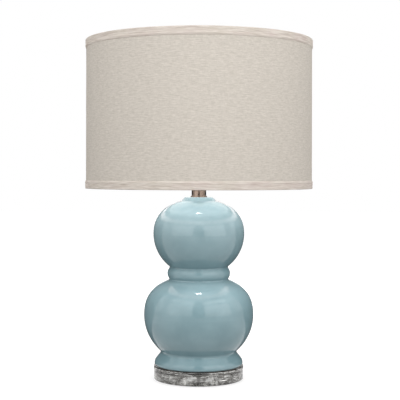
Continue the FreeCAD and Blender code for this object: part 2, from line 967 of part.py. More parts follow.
def shade_spider():
    """Top ring, drilled hub and three arms that drop from the ring and run in to the hub."""
    ring_height = shade_top - S.trim_edge - S.ring_wire_radius
    arm_height = hub_seat + S.hub_thickness * 0.5
    outer = ring_radius.value
    fall = S.arm_fall_run.value
    arms = []
    for number, direction in enumerate(ARM_DIRECTIONS, start=1):
        arm = new_body(f"spider_arm_{number}")
        points = [
            FreeCAD.Vector(S.hub_radius.value - S.ring_wire_radius.value, arm_height.value, 0),
            FreeCAD.Vector(outer - fall, arm_height.value, 0),
            FreeCAD.Vector(outer, ring_height.value, 0),
        ]
        bent_wire(
            arm,
            points,
            [S.arm_bend.value],
            S.ring_wire_radius,
            "YZ_Plane",
            S.hub_radius - S.ring_wire_radius,
            ZERO,
            arm_height,
        )
        arm.Placement.Rotation = FreeCAD.Rotation(FreeCAD.Vector(0, 0, 1), direction)
        arms.append(arm)
    hub = cylinder("spider_hub", S.hub_radius, S.hub_thickness, hub_seat)
    blank = fuse("spider_blank", [hub, ring("spider_ring", ring_height)] + arms)
    drill_bottom = hub_seat - S.ring_wire_radius
    drill = cylinder(
        "spider_drill",
        S.stud_radius + S.hub_clearance,
        S.hub_thickness + S.ring_wire_radius * 2,
        drill_bottom,
    )
    return cut("shade_spider", blank, drill)


def trim(label, edge, inward):
    """Tape folded over a rim: edge is the rim's height, inward is -1 at the top rim."""
    lining_outer = ring_radius - S.ring_wire_radius
    lining_inner = lining_outer - S.liner_thickness
    web = edge + S.trim_edge * inward
    return turned(
        label,
        [
            (S.shade_radius, edge),
            (S.shade_radius, edge + S.trim_height * inward),
            (fabric_outer, edge + S.trim_height * inward),
            (fabric_outer, web),
            (lining_outer, web),
            (lining_outer, edge + S.trim_lining_height * inward),
            (lining_inner, edge + S.trim_lining_height * inward),
            (lining_inner, edge),
        ],
    )


def shade():
    drum_bottom = shade_bottom + S.trim_edge
    drum_top = shade_top - S.trim_edge
    spider = shade_spider()
    return [
        spider,
        ring("shade_bottom_ring", drum_bottom + S.ring_wire_radius),
        turned("shade_liner", tube_corners(liner_inner, liner_outer, drum_bottom, drum_top)),
        turned("shade_fabric", tube_corners(liner_outer, fabric_outer, drum_bottom, drum_top)),
        cut("shade_trim_top", trim("shade_trim_top_blank", shade_top, -1), spider),
        trim("shade_trim_bottom", shade_bottom, 1),
    ]


def finial():
    """A small turned knob on the stud, over its own washer."""
    hub_top = hub_seat + S.hub_thickness
    washer_top = hub_top + S.finial_washer_thickness
    bore = S.stud_radius + S.hub_clearance
    neck_top_height = washer_top + S.finial_stem_height
    ball = S.finial_ball_radius
    dip = math.sqrt(1 - (S.finial_neck_radius.value / ball.value) ** 2)
    ball_centre = neck_top_height + ball * dip
    washer = turned(
        "finial_washer", tube_corners(bore, S.finial_washer_radius, hub_top, washer_top)
    )
    knob = turned(
        "finial",
        [
            (ZERO, washer_top + S.finial_bore_depth),
            (bore, washer_top + S.finial_bore_depth),
            (bore, washer_top),
            (S.finial_base_radius, washer_top),
            (S.finial_base_radius, washer_top + S.finial_foot_height),
            (S.finial_neck_radius, washer_top + S.finial_taper_height),
            (S.finial_neck_radius, neck_top_height),
            (ball, ball_centre, ball),
            (ZERO, ball_centre + ball, ball),
        ],
    )
    return [washer, knob]


# ---------------------------------------------------------------------------------------
# Socket and turn switch
# ---------------------------------------------------------------------------------------


def socket_cap():
    """A thin bowl with a threaded hub that screws down on the pipe over the saddle."""
    dome_bottom = saddle_top + S.cap_neck_height
    dome_top = dome_bottom + S.cap_dome_height
    rim = dome_top + S.cap_skirt_height
    inside = S.cap_radius - S.cap_wall
    body = turned(
        "socket_cap",
        [
            (pipe_hole, saddle_top),
            (S.cap_hub_radius, saddle_top),
            (S.cap_hub_radius, dome_bottom),
            (S.cap_radius, dome_top, S.cap_dome_round),
            (S.cap_radius, rim),
            (inside, rim),
            (inside, dome_top),
            (S.cap_hub_radius, dome_bottom + S.cap_wall, -(S.cap_dome_round - S.cap_wall)),
            (S.cap_hub_radius, saddle_top + S.cap_hub_height),
            (pipe_hole, saddle_top + S.cap_hub_height),
        ],
    )
    doc.recompute()
    hole = new_sketch(body, "XZ_Plane")
    draw_circle(hole, S.set_screw_radius, ZERO, saddle_top + S.cap_neck_height * 0.5)
    pocket(body, hole)
    return body


def laid_cylinder(label, radius, length, start, height, towards_front):
    """A cylinder along -Y (front) or +Y, starting at the given distance from the axis."""
    item = doc.addObject("Part::Cylinder", label)
    item.Label = label
    turn = 90 if towards_front else -90
    item.Placement.Rotation = FreeCAD.Rotation(FreeCAD.Vector(1, 0, 0), turn)
    bind(item, "Radius", radius)
    bind(item, "Height", length)
    bind(item, "Placement.Base.y", -start if towards_front else start)
    bind(item, "Placement.Base.z", height)
    return item


def socket_set_screw():
    start = pipe_hole
    length = S.cap_hub_radius + S.set_screw_stand_out - start
    height = saddle_top + S.cap_neck_height * 0.5
    return laid_cylinder("socket_set_screw", S.set_screw_radius, length, start, height, False)


def drilled_tube(label, inner, outer, bottom, top):
    """A tube with a hole in its front wall that the switch's shaft passes through."""
    body = turned(label, tube_corners(inner, outer, bottom, top))
    doc.recompute()
    hole = new_sketch(body, "XZ_Plane")
    draw_circle(hole, S.switch_shaft_radius + S.rotor_gap, ZERO, knob_height)
    pocket(body, hole, reverse=True)
    return body


def socket_covers():
    shell_inner = S.shell_radius - S.shell_wall
    paper_outer = shell_inner - S.socket_gap
    return [
        drilled_tube("socket_shell", shell_inner, S.shell_radius, shell_bottom, shell_top),
        drilled_tube(
            "socket_paper_sleeve",
            paper_outer - S.paper_wall,
            paper_outer,
            shell_bottom,
            shell_top - S.paper_wall,
        ),
    ]


def socket_block():
    """Insulating block with the switch chamber, the shaft's bore and two screw holes."""
    body = new_body("socket_block")
    disc = new_sketch(body, "XY_Plane", block_bottom)
    draw_circle(disc, block_radius)
    pad(body, disc, S.block_height)
    doc.recompute()
    chamber = new_sketch(body, "XZ_Plane", S.rotor_start - S.rotor_gap)
    draw_circle(chamber, S.rotor_radius + S.rotor_gap, ZERO, knob_height)
    pocket(body, chamber, S.rotor_length + S.rotor_gap * 2, reverse=True)
    shaft_bore = new_sketch(body, "XZ_Plane", S.rotor_start)
    draw_circle(shaft_bore, S.switch_shaft_radius + S.shaft_fit, ZERO, knob_height)
    pocket(body, shaft_bore, reverse=True)
    for across in (-S.terminal_offset, S.terminal_offset):
        hole = new_sketch(body, "XY_Plane", block_bottom)
        draw_circle(hole, S.terminal_shank_radius + S.shaft_fit, across, ZERO)
        pocket(body, hole, S.terminal_shank_length + S.rotor_gap, reverse=True)
    return body


def terminal_screws():
    screws = []
    for side, across in (("left", -S.terminal_offset), ("right", S.terminal_offset)):
        head_bottom = block_bottom - S.terminal_head_height
        head = cylinder(
            f"terminal_head_{side}",
            S.terminal_head_radius,
            S.terminal_head_height,
            head_bottom,
            across,
        )
        shank = cylinder(
            f"terminal_shank_{side}",
            S.terminal_shank_radius,
            S.terminal_shank_length + S.terminal_head_height,
            head_bottom,
            across,
        )
        screws.append(fuse(f"terminal_screw_{side}", [head, shank]))
    group = doc.addObject("Part::Compound", "terminal_screws")
    group.Label = "terminal_screws"
    group.Links = screws
    return group


def screw_shell():
    inner = S.bulb_cap_radius + S.thread_clearance
    outer = inner + S.screw_shell_wall
    top = block_top + S.screw_shell_height
    return turned(
        "screw_shell",
        [
            (S.contact_opening_radius, block_top),
            (outer, block_top),
            (outer, top),
            (inner, top),
            (inner, block_top + S.screw_shell_wall),
            (S.contact_opening_radius, block_top + S.screw_shell_wall),
        ],
    )


def centre_contact():
    """A small pressed brass cup, highest in the middle where the bulb touches it."""
    return turned(
        "centre_contact",
        [
            (ZERO, block_top),
            (S.contact_radius, block_top),
            (S.contact_radius, block_top + S.screw_shell_wall),
            (S.contact_crown_radius, block_top + S.contact_height),
            (ZERO, block_top + S.contact_height),
        ],
    )


def switch_parts():
    """Rotor and shaft in the socket block, and the scalloped knob out in front."""
    rotor_end = S.rotor_start + S.rotor_length
    knob_start = S.shell_radius + S.knob_stand_off
    shaft_end = knob_start + S.knob_grip_depth
    rotor = laid_cylinder(
        "switch_rotor", S.rotor_radius, S.rotor_length, S.rotor_start, knob_height, True
    )
    shaft = laid_cylinder(
        "switch_shaft", S.switch_shaft_radius, shaft_end - rotor_end, rotor_end, knob_height, True
    )
    knob = new_body("switch_knob")
    sketch = new_sketch(knob, "XZ_Plane")
    rim = S.knob_edge_round
    draw_outline(
        sketch,
        [
            (S.switch_shaft_radius, ZERO),
            (S.knob_radius - rim, ZERO),
            (S.knob_radius, rim, rim),
            (S.knob_radius, S.knob_length - rim),
            (S.knob_radius - rim, S.knob_length, rim),
            (ZERO, S.knob_length),
            (ZERO, S.knob_grip_depth),
            (S.switch_shaft_radius, S.knob_grip_depth),
        ],
    )
    revolve(knob, sketch)
    doc.recompute()
    scallop = new_sketch(knob, "XY_Plane")
    draw_circle(scallop, S.knob_scallop_radius, S.knob_radius + S.knob_scallop_offset, ZERO)
    first_scallop = pocket(knob, scallop, reverse=True)
    pattern = knob.newObject("PartDesign::PolarPattern", "switch_knob_scallops")
    pattern.Originals = [first_scallop]
    pattern.Axis = (scallop, ["N_Axis"])
    pattern.Angle = 360
    bind(pattern, "Occurrences", S.knob_scallop_count)
    knob.Tip = pattern
    knob.Placement.Rotation = FreeCAD.Rotation(FreeCAD.Vector(1, 0, 0), 90)
    bind(knob, "Placement.Base.y", -knob_start)
    bind(knob, "Placement.Base.z", knob_height)
    return [rotor, shaft, knob]


# ---------------------------------------------------------------------------------------
# Bulb
# ---------------------------------------------------------------------------------------


def bulb_glass():
    """A pear-shaped envelope: a short neck, a cone and a round crown, thin throughout."""
    centre = bulb_tip + S.bulb_length - S.bulb_radius
    cos_neck = math.cos(BULB_NECK_ANGLE)
    sin_neck = math.sin(BULB_NECK_ANGLE)
    inner_radius = S.bulb_radius - S.bulb_wall
    neck_end = bulb_cap_top + S.bulb_neck_height
    return turned(
        "bulb_glass",
        [
            (S.bulb_cap_radius - S.bulb_wall, bulb_cap_top),
            (S.bulb_cap_radius, bulb_cap_top),
            (S.bulb_neck_radius, neck_end),
            (S.bulb_radius * cos_neck, centre - S.bulb_radius * sin_neck),
            (ZERO, centre + S.bulb_radius, S.bulb_radius),
            (ZERO, centre + inner_radius),
            (inner_radius * cos_neck, centre - inner_radius * sin_neck, -inner_radius),
            (S.bulb_neck_radius - S.bulb_wall, neck_end),
        ],
    )


def bulb_base():
    cap_start = bulb_tip + S.bulb_cap_start
    cap_inner = S.bulb_cap_radius - S.screw_shell_wall
    tip_top = bulb_tip + S.bulb_tip_height
    cap = turned(
        "bulb_cap",
        [
            (S.insulator_radius, cap_start),
            (S.bulb_cap_radius, cap_start + S.screw_shell_wall * 2),
            (S.bulb_cap_radius, bulb_cap_top),
            (cap_inner, bulb_cap_top),
            (cap_inner, cap_start + S.screw_shell_wall * 3),
            (S.insulator_radius, cap_start + S.screw_shell_wall),
        ],
    )
    insulator = turned(
        "bulb_insulator",
        [
            (ZERO, tip_top),
            (S.bulb_tip_radius, tip_top),
            (S.insulator_radius, cap_start),
            (S.insulator_radius, cap_start + S.screw_shell_wall),
            (ZERO, cap_start + S.screw_shell_wall),
        ],
    )
    contact = turned(
        "bulb_contact",
        [
            (ZERO, bulb_tip),
            (S.bulb_tip_flat, bulb_tip),
            (S.bulb_tip_radius, tip_top),
            (ZERO, tip_top),
        ],
    )
    return [cap, insulator, contact]


def bulb_inside():
    """Glass stem that flares to the neck, and the lead wires with the filament on top."""
    stem_top = bulb_cap_top + S.stem_height
    flare_radius = S.bulb_cap_radius - S.bulb_wall - S.socket_gap
    stem = turned(
        "bulb_stem",
        [
            (ZERO, bulb_cap_top),
            (flare_radius, bulb_cap_top),
            (flare_radius, bulb_cap_top + S.bulb_wall),
            (S.stem_radius, bulb_cap_top + S.stem_flare_height),
            (S.stem_radius, stem_top),
            (ZERO, stem_top),
        ],
    )
    leads = new_body("bulb_filament")
    near, far = S.lead_offset.value, S.filament_half_width.value
    low = stem_top.value
    knee = low + S.lead_rise.value
    high = low + S.filament_rise.value
    left_side = [(-near, low), (-near, knee), (-far, high)]
    right_side = [(far, high), (near, knee), (near, low)]
    points = [FreeCAD.Vector(across, up, 0) for across, up in left_side + right_side]
    bent_wire(
        leads,
        points,
        [S.filament_bend.value] * (len(points) - 2),
        S.filament_wire_radius,
        "XY_Plane",
        stem_top,
        -S.lead_offset,
        ZERO,
    )
    return [stem, leads]


# ---------------------------------------------------------------------------------------
# The lamp
# ---------------------------------------------------------------------------------------


def flat_list(groups):
    pieces = []
    for group in groups:
        pieces += group if isinstance(group, list) else [group]
    return pieces


pieces = flat_list(
    [
        base_bumpers(),
        base_disc(),
        base_hardware(),
        lamp_pipe(),
        foot_gasket(),
        centring_ring(),
        gourd_body(),
        cord_bushing(),
        seating_ring(),
        neck(),
        neck_locknut(),
        harp_saddle(),
        harp(),
        harp_sleeve("harp_sleeve_left", -S.saddle_half_span),
        harp_sleeve("harp_sleeve_right", S.saddle_half_span),
        harp_stud(),
        shade(),
        finial(),
        socket_cap(),
        socket_set_screw(),
        socket_covers(),
        socket_block(),
        terminal_screws(),
        screw_shell(),
        centre_contact(),
        switch_parts(),
        bulb_glass(),
        bulb_base(),
        bulb_inside(),
    ]
)
doc.recompute()

for item in doc.Objects:
    if "Invalid" in item.State or "Error" in item.State:
        raise RuntimeError(f"{item.Label} did not rebuild: {item.State}")
for piece in pieces:
    if piece.Shape.isNull() or not piece.Shape.isValid() or not piece.Shape.Solids:
        raise RuntimeError(f"{piece.Label} is not a sound solid")

os.makedirs("parts", exist_ok=True)
for piece in pieces:
    piece.Shape.exportStep(f"parts/{piece.Label}.step")
    print(f"{piece.Label}: {len(piece.Shape.Solids)} solid(s), {piece.Shape.Volume:.0f} mm3")
print(f"{len(pieces)} pieces")
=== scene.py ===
import math

import bpy
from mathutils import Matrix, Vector, noise


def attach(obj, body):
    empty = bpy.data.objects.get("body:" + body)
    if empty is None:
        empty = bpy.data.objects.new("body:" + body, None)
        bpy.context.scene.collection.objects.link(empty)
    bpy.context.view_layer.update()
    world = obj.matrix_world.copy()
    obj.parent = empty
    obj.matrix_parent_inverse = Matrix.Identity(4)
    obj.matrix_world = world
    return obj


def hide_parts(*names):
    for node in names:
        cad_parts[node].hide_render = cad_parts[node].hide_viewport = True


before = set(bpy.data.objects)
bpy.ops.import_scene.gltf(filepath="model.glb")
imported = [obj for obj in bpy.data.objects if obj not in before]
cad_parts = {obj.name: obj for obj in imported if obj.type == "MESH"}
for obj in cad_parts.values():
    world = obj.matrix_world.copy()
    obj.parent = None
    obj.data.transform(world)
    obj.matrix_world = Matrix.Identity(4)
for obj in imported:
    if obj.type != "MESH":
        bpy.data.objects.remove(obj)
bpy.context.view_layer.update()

# Lengths are in metres, and angles in degrees except where a comment says radians.

# The shade's rims and the gourd's creases and top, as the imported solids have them.
SHADE_LOW, SHADE_HIGH = 0.3625, 0.6425
CREASES = (0.0524, 0.1893, 0.2128, 0.3390)
COLLAR_TOP = 0.346

# The skin: its middle radius, its lap, how far it stops short of the rims, and its relief as
# (waves per metre along, waves per metre across, shift, height) for slack cloth and for slubs.
# Its mesh is even up to SKIN_EDGE before the end, and has finer columns there.
FABRIC_RADIUS = 0.21445
FABRIC_LAP, FABRIC_LAP_RISE = 0.0127, 0.0006
FABRIC_INSET = 0.0012
SKIN_RELIEF = ((18, 30, 3.0, 0.00012), (70, 420, 8.0, 0.00010))
SKIN_COLUMNS, SKIN_LEVELS = 600, 140
SKIN_EDGE, SKIN_EDGE_COLUMNS = 0.001, 4

# The tapes: the radius that their length is taken at, their lap, and their relief in the same
# way, for long folds and for small ones. PUCKERS are cross folds where a wave of PUCKER_PLACES
# per metre is above PUCKER_START, and the whole outline wanders up and down by TAPE_WANDER.
TRIM_RADIUS = 0.2157
TAPE_LAP, TAPE_LAP_RISE = 0.010, 0.0005
TAPE_RELIEF = ((26, 520, 0, 0.00042), (95, 900, 4, 0.00016))
PUCKERS = ((160, 130, 2, 0.0007),)
PUCKER_PLACES, PUCKER_SHIFT, PUCKER_START = 9, 9, 0.25
TAPE_WANDER, TAPE_WANDER_PLACES, TAPE_WANDER_SHIFT = 0.0006, 14, 6
TAPE_COLUMNS = 900

# A tape's outline, as (radius, depth in from the rim, looseness) from its free outer edge to its
# inner one. The first part, a rolled fold, has its depths from the free edge instead.
TRIM_HEIGHT = 0.0155
TAPE_ROLL = ((0.21472, -0.0008, 0.0), (0.21474, -0.0003, 0.05), (0.21486, -0.0001, 0.1),
             (0.21508, -0.0003, 0.15), (0.21538, -0.0011, 0.2), (0.21572, -0.0021, 0.3),
             (0.21602, -0.0031, 0.4), (0.21614, -0.0038, 0.6), (0.21602, -0.0045, 0.8))
TAPE_FACE_RADIUS, TAPE_FACE_WAVE, TAPE_FACE_TURN = 0.21575, 0.00012, 1.9
TAPE_FACE_STEPS = 14
TAPE_FACE_START, TAPE_FACE_END = TRIM_HEIGHT - 0.0052, 0.0018
TAPE_OVER_RING = ((0.21580, 0.0010, 0.7), (0.21555, 0.0004, 0.5), (0.21500, 0.0000, 0.3),
                  (0.21400, -0.0001, 0.1), (0.21250, -0.0001, 0.0), (0.21100, -0.0001, 0.0),
                  (0.20960, 0.0001, 0.1), (0.20885, 0.0006, 0.2), (0.20845, 0.0015, 0.3))
TAPE_INNER_RADIUS, TAPE_INNER_LOOSENESS = 0.2084, 0.3
TAPE_INNER_START, TAPE_INNER_END, TAPE_INNER_STEPS = 0.0015, 0.0088, 6

# Where a sheet's end goes over its start: how far before the end it starts to climb and how far
# it climbs, in widths of the lap; then the width of its folded edge, and how much of the rise
# that edge drops.
LAP_REACH, LAP_CLIMB = 1.6, 0.6
FOLD, FOLD_DROP = 0.0008, 0.9

# The stage. A brightness of 1 is white.
WHITE = (1, 1, 1, 1)
DARK = (0.02, 0.02, 0.02, 1)
WORLD_LIGHT = 0.29

# The floor's half width, its colour, and its glow, which grows from FLOOR_GLOW near the lamp to 1
# between two distances from its axis.
FLOOR_HALF = 8
FLOOR_COLOUR = (0.35, 0.35, 0.35, 1)
FLOOR_GLOW, FLOOR_GLOW_FROM, FLOOR_GLOW_TO = 0.7, 0.25, 1.1

# The point that the stage stands round, how far off it stands, and its gap over the floor.
AIM = Vector((0, 0, 0.3))
STAGE_DISTANCE = 2.2
OVER_FLOOR = 0.003

# The dark cloth's opening and reach, off the way straight back, and half the dark card's angle.
CLOTH_OPENING, CLOTH_REACH = 12.5, 76.0
CLOTH_RINGS, CLOTH_STEPS = 12, 60
CARD_HALF_ANGLE, CARD_TOP = 13.0, 2.6

# The front panels, a row each: height angle, brightness left and right, and nearness. The upper
# rows stand nearer, so that the top of the shade is the brighter end.
PANEL_ROWS = (
    (3, 1.3, 1.7, 1.0),
    (15, 1.3, 1.8, 1.0),
    (27, 1.7, 2.2, 1.0),
    (39, 1.9, 2.2, 0.6),
    (51, 0.6, 0.6, 0.6),
)
PANEL_AZIMUTH = 42
PANEL_WIDE, PANEL_HIGH = 2.4, 0.47

# The other panels: azimuth, height angle, width, height, brightness, and whether a gloss shows it.
OTHER_PANELS = {
    "panel_side_left": (-100, 20, 1.6, 1.6, 0.45, True),
    "panel_side_right": (100, 20, 1.6, 1.6, 0.5, True),
    "fill_left": (-30, 25, 1.6, 1.2, 0.6, False),
    "fill_right": (30, 25, 1.6, 1.2, 0.3, False),
    "fill_back": (180, 25, 2.4, 1.2, 3.6, False),
    "ceiling_spot": (0, 83, 0.32, 0.17, 36.0, True),
}

# The light that comes down out of the shade: its height, the radii of its disc and rings, and the
# brightness of the ring that shows in a gloss, the ring that doesn't, and the disc.
SHADE_GLOW_HEIGHT = 0.372
SHADE_GLOW_RADII = (0.10, 0.14, 0.205)
SHADE_GLOW_PANELS = 24
SHADE_GLOW, SHADE_GLOW_SOFT, SHADE_GLOW_MIDDLE = 1.6, 3.3, 1.2
SHADE_GLOW_TINT = (1.15, 0.95, 0.92)

# The camera, with its roll in radians and its sensor and lens in millimetres. The roll and the
# small step to the right share out the lean of the photo's lamp.
CAMERA_PLACE = (0.0020, -1.911, 0.392)
CAMERA_ROLL = -0.002
CAMERA_SENSOR, CAMERA_LENS = 36, 90
CAMERA_SHIFT_UP = -0.0677


# ---------------------------------------------------------------- materials

def srgb(*values):
    """Display colour values from 0 to 255, as linear red, green, blue and alpha."""
    linear = []
    for value in values:
        v = value / 255
        linear.append(v / 12.92 if v <= 0.04045 else ((v + 0.055) / 1.055) ** 2.4)
    return (*linear, 1.0)


class Finish:
    """A material round one Principled shader, with textures laid out in metres on the object."""

    def __init__(self, name, values):
        self.material = bpy.data.materials.new(name)
        self.material.use_nodes = True
        self.nodes = self.material.node_tree.nodes
        self.links = self.material.node_tree.links
        self.shader = self.nodes["Principled BSDF"]
        for socket, value in values.items():
            self.shader.inputs[socket].default_value = value
        self.place = self.node("ShaderNodeTexCoord").outputs["Object"]
        self.normal = None

    def node(self, kind, **settings):
        made = self.nodes.new(kind)
        for key, value in settings.items():
            setattr(made, key, value)
        return made

    def feed(self, socket, value):
        """Links a socket to another one, or gives it a plain value."""
        if isinstance(value, bpy.types.NodeSocket):
            self.links.new(value, socket)
        else:
            socket.default_value = value

    def set(self, socket, value):
        self.feed(self.shader.inputs[socket], value)

    def math(self, operation, a, b=0.0, clamp=False):
        made = self.node("ShaderNodeMath", operation=operation, use_clamp=clamp)
        self.feed(made.inputs[0], a)
        self.feed(made.inputs[1], b)
        return made.outputs[0]

    def axis(self, name, vector=None):
        """One component of a vector, or of the place on the object."""
        made = self.node("ShaderNodeSeparateXYZ")
        self.feed(made.inputs[0], vector or self.place)
        return made.outputs[name]

    def from_origin(self):
        """Distance of the place on the object from its origin."""
        made = self.node("ShaderNodeVectorMath", operation="LENGTH")
        self.feed(made.inputs[0], self.place)
        return made.outputs["Value"]

    def round_and_up(self, radius):
        """Distance round the upright axis, with its joint at the back, and height."""
        turn = self.math("ARCTAN2", self.axis("X"), self.math("MULTIPLY", self.axis("Y"), -1))
        made = self.node("ShaderNodeCombineXYZ")
        self.feed(made.inputs[0], self.math("MULTIPLY", turn, radius))
        self.feed(made.inputs[1], self.axis("Z"))
        return made.outputs[0]

    def texture(self, kind, size, stretch=(1, 1, 1), place=None, shift=0.0):
        """A texture whose unit is size across, and longer along each axis by its stretch."""
        mapping = self.node("ShaderNodeMapping")
        self.feed(mapping.inputs["Vector"], place or self.place)
        mapping.inputs["Location"].default_value = (shift, shift, shift)
        mapping.inputs["Scale"].default_value = [1 / (size * s) for s in stretch]
        made = self.node(kind)
        made.inputs["Scale"].default_value = 1.0
        self.feed(made.inputs["Vector"], mapping.outputs[0])
        return made

    def noise(self, size, detail, stretch=(1, 1, 1), place=None, shift=0.0):
        """Smooth noise whose lumps are about size across."""
        made = self.texture("ShaderNodeTexNoise", size, stretch, place, shift)
        made.inputs["Detail"].default_value = detail
        return made.outputs["Fac"]

    def cells(self, size):
        """Distance to the nearest of scattered points about size apart."""
        return self.texture("ShaderNodeTexVoronoi", size).outputs["Distance"]

    def ripple(self, value, pitch):
        """A sine from 0 to 1 that repeats every pitch of value."""
        wave = self.math("SINE", self.math("MULTIPLY", value, 2 * math.pi / pitch))
        return self.span(wave, -1, 1)

    def span(self, value, low, high, to_low=0.0, to_high=1.0):
        """The value, taken from between low and high to between to_low and to_high."""
        made = self.node("ShaderNodeMapRange")
        for socket, v in zip(made.inputs[:5], (value, low, high, to_low, to_high)):
            self.feed(socket, v)
        return made.outputs[0]

    def blend(self, share, a, b):
        """Colour a where share is 0 and b where it is 1."""
        made = self.node("ShaderNodeMix", data_type="RGBA")
        self.feed(made.inputs[0], share)
        self.feed(made.inputs[6], a)
        self.feed(made.inputs[7], b)
        return made.outputs[2]

    def tint(self, colour, share, most, other):
        """The colour, moved towards another one by share times most."""
        return self.blend(self.math("MULTIPLY", share, most), colour, other)

    def uneven_gloss(self, pattern, low, high):
        self.set("Roughness", self.span(pattern, 0.3, 0.7, low, high))

    def bump(self, height, depth, strength):
        """Adds relief of the given depth over what is there."""
        made = self.node("ShaderNodeBump")
        made.inputs["Strength"].default_value = strength
        made.inputs["Distance"].default_value = depth
        self.feed(made.inputs["Height"], height)
        if self.normal:
            self.feed(made.inputs["Normal"], self.normal)
        self.normal = made.outputs[0]
        self.set("Normal", self.normal)


def glaze():
    """Thin blue-grey glaze that pools in the creases, darkens in specks and thins at the lip."""
    f = Finish("glaze_finish", {"IOR": 1.45})
    clouds = f.span(f.noise(0.05, 3), 0.35, 0.65)
    colour = f.blend(clouds, srgb(122, 151, 158), srgb(132, 160, 167))
    specks = f.span(f.cells(0.0045), 0.05, 0.16, 1, 0)
    colour = f.tint(colour, specks, 0.10, srgb(92, 112, 118))
    height = f.axis("Z")
    pooled = 0.0
    for crease in CREASES:
        away = f.math("ABSOLUTE", f.math("SUBTRACT", height, crease))
        pooled = f.math("ADD", f.span(away, 0.0005, 0.005, 1, 0), pooled, clamp=True)
    colour = f.tint(colour, pooled, 0.2, srgb(88, 112, 118))
    lip = f.span(height, COLLAR_TOP - 0.002, COLLAR_TOP)
    f.set("Base Color", f.tint(colour, lip, 0.35, srgb(186, 198, 198)))
    f.uneven_gloss(f.noise(0.02, 2), 0.08, 0.12)
    f.bump(f.noise(0.045, 1), 0.0005, 0.5)
    f.bump(f.noise(0.004, 2), 0.00005, 0.4)
    return f.material


def acrylic():
    """Clear cast acrylic, with painted refraction: grey streaks and swirls, clearer in its middle.
    """
    f = Finish("acrylic_finish", {"IOR": 1.49, "Transmission Weight": 1.0})
    # The grey tints are painted refraction: the dark surroundings seen through the clear block.
    swirl = f.noise(0.016, 4, stretch=(1, 1, 0.7), shift=1.7)
    upright = f.noise(0.006, 3, stretch=(1, 1, 6), shift=4.0)
    level = f.noise(0.0014, 3, stretch=(8, 8, 1), shift=8.0)
    refraction_mask = f.math("ADD", f.span(swirl, 0.35, 0.65, 0, 0.3), f.span(upright, 0.35, 0.65, 0, 0.2))
    refraction_mask = f.math("ADD", refraction_mask, f.span(level, 0.35, 0.65, 0, 0.5))
    painted_refraction = f.blend(f.span(refraction_mask, 0.38, 0.74), (0.04, 0.037, 0.033, 1), (0.62, 0.62, 0.60, 1))
    outer = f.span(f.from_origin(), 0.032, 0.055)
    f.set("Base Color", f.blend(outer, (0.88, 0.88, 0.87, 1), painted_refraction))
    f.set("Roughness", f.span(f.noise(0.03, 2), 0.4, 0.7, 0.0, 0.03))
    f.bump(f.noise(0.02, 2, stretch=(1, 1, 2)), 0.0015, 0.6)
    return f.material


def linen():
    """Plain-woven linen: level and upright yarns, thick places along the level ones."""
    f = Finish("linen_finish", {"Specular IOR Level": 0.1})
    cloth = f.round_and_up(FABRIC_RADIUS)
    wander = f.math("MULTIPLY", f.noise(0.009, 2, place=cloth), 0.0006)
    warp = f.ripple(f.math("ADD", f.axis("X", cloth), wander), 0.00105)
    weft = f.ripple(f.math("ADD", f.axis("Y", cloth), wander), 0.00095)
    slubs = f.noise(0.0013, 3, (5, 1, 1), cloth)
    long_slubs = f.noise(0.0018, 2, (9, 1, 1), cloth, shift=5.0)
    upright = f.noise(0.0013, 2, (1, 6, 1), cloth, shift=9.0)
    mottle = f.noise(0.0045, 3, (1.5, 1, 1), cloth, shift=2.0)
    tone = f.span(slubs, 0.3, 0.7, 0, 0.45)
    tone = f.math("ADD", tone, f.span(long_slubs, 0.35, 0.65, 0, 0.35))
    tone = f.math("ADD", tone, f.span(upright, 0.3, 0.7, 0, 0.2))
    tone = f.math("ADD", tone, f.span(mottle, 0.3, 0.7, -0.1, 0.1))
    colour = f.blend(f.span(tone, 0.2, 0.85), srgb(194, 187, 177), srgb(217, 210, 201))
    gaps = f.span(f.math("MULTIPLY", warp, weft), 0.0, 0.5, 0.14, 0.0)
    f.set("Base Color", f.blend(gaps, colour, srgb(168, 158, 145)))
    f.uneven_gloss(slubs, 0.86, 0.96)
    f.bump(f.math("ADD", warp, weft), 0.00010, 0.5)
    f.bump(tone, 0.00022, 0.5)
    return f.material


def linen_tape():
    """The same linen cut as a narrow tape, with its yarns drawn level and small creases."""
    f = Finish("linen_tape_finish", {"Specular IOR Level": 0.1})
    cloth = f.round_and_up(TRIM_RADIUS)
    streaks = f.noise(0.0014, 2, (16, 1, 1), cloth)
    broad = f.noise(0.0035, 2, (12, 1, 1), cloth, shift=4.0)
    patches = f.noise(0.03, 2, (2, 1, 1), cloth, shift=7.0)
    tone = f.span(streaks, 0.3, 0.7, 0, 0.55)
    tone = f.math("ADD", tone, f.span(broad, 0.32, 0.68, 0, 0.45))
    low = f.blend(f.span(patches, 0.35, 0.65), srgb(190, 180, 168), srgb(196, 181, 174))
    f.set("Base Color", f.blend(f.span(tone, 0.15, 0.85), low, srgb(222, 214, 205)))
    f.uneven_gloss(streaks, 0.84, 0.95)
    f.bump(f.ripple(f.axis("X", cloth), 0.001), 0.00006, 0.5)
    f.bump(tone, 0.0004, 0.7)
    return f.material


def liner():
    """White styrene sheet behind the linen, faintly rippled by the press."""
    f = Finish("liner_finish", {"Specular IOR Level": 0.35})
    f.set("Base Color", f.blend(f.noise(0.05, 2), srgb(238, 236, 231), srgb(243, 242, 238)))
    f.uneven_gloss(f.noise(0.01, 2), 0.42, 0.55)
    f.bump(f.noise(0.012, 2), 0.0001, 0.4)
    return f.material


def glass(name, colour, roughness, transmission, relief=0.00002):
    """Blown glass, clear or etched, with a slight waviness."""
    f = Finish(name, {"IOR": 1.5, "Transmission Weight": transmission})
    darker = (*(0.96 * c for c in colour[:3]), 1)
    f.set("Base Color", f.blend(f.noise(0.02, 2), colour, darker))
    f.uneven_gloss(f.noise(0.003, 3), roughness * 0.8, roughness * 1.2)
    f.bump(f.noise(0.012, 1), relief, 0.5)
    return f.material


